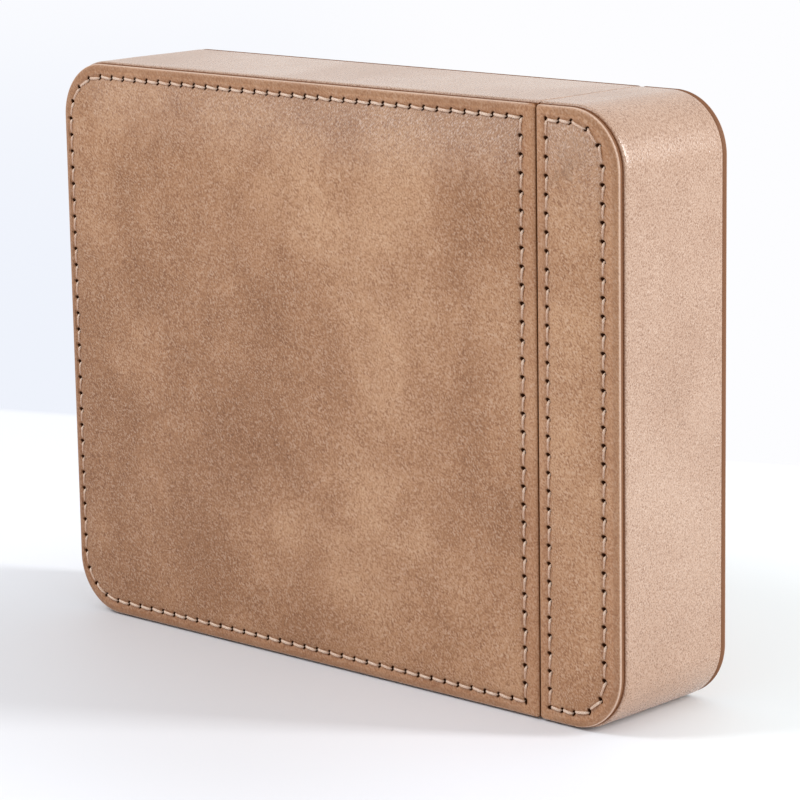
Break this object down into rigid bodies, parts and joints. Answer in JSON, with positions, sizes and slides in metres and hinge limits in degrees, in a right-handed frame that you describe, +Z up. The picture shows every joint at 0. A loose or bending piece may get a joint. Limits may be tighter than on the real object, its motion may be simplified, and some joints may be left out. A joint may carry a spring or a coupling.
{
  "type": "pocket watch display box",
  "caption": "Upright leather-covered case with stitched panels; a slide-out drawer holds pocket watches in round padded wells.",
  "frame": {"origin": "middle of the footprint, on the surface that the box stands on", "axes": "+X along the width, the way the drawer pulls out; +Y into the depth, from the front panel to the back panel; +Z up"},
  "size_m": [0.178, 0.038, 0.14],
  "materials": {
    "panel_leather": "waxed tan leather, cloudy, fine grain",
    "band_leather": "waxed tan leather, satin, fine grain",
    "thread": "twisted cream sewing thread",
    "card": "plain grey board",
    "frame_wood": "raw medium-density fibreboard",
    "tray_wood": "raw thin plywood and fibreboard",
    "suede": "napped microsuede",
    "foam": "dense open-cell foam",
    "magnet": "nickel plated",
    "screw": "zinc plated"
  },
  "bodies": {
    "sleeve": {"sleeve_top_rail": "frame_wood", "sleeve_bottom_rail": "frame_wood", "sleeve_end_rail": "frame_wood", "sleeve_front_board": "frame_wood", "sleeve_back_board": "frame_wood", "sleeve_band_leather": "band_leather", "sleeve_mouth_trim": "band_leather", "sleeve_front_card": "card", "sleeve_front_leather": "panel_leather", "sleeve_front_stitching": "thread", "sleeve_back_card": "card", "sleeve_back_leather": "panel_leather", "sleeve_back_stitching": "thread", "sleeve_lining": "suede", "sleeve_magnets": "magnet"},
    "drawer": {"head_top_rail": "frame_wood", "head_bottom_rail": "frame_wood", "head_end_rail": "frame_wood", "head_front_board": "frame_wood", "head_back_board": "frame_wood", "head_bulkhead": "frame_wood", "head_band_leather": "band_leather", "head_facing": "band_leather", "head_front_card": "card", "head_front_leather": "panel_leather", "head_front_stitching": "thread", "head_back_card": "card", "head_back_leather": "panel_leather", "head_back_stitching": "thread", "head_magnets": "magnet", "tray_floor": "tray_wood", "tray_top_wall": "tray_wood", "tray_bottom_wall": "tray_wood", "tray_end_wall": "tray_wood", "tray_head_wall": "tray_wood", "tray_suede": "suede", "tray_screws": "screw", "divider_long": "tray_wood", "divider_cross": "tray_wood", "divider_suede": "suede", "pad_foam_top_left": "foam", "pad_foam_top_right": "foam", "pad_foam_bottom_left": "foam", "pad_foam_bottom_right": "foam", "pad_cover_top_left": "suede", "pad_cover_top_right": "suede", "pad_cover_bottom_left": "suede", "pad_cover_bottom_right": "suede"}
  },
  "joints": [
    {"name": "tray_slide", "type": "slide", "parent": "sleeve", "child": "drawer", "axis": [1, 0, 0], "range_m": [0, 0.15]}
  ]
}
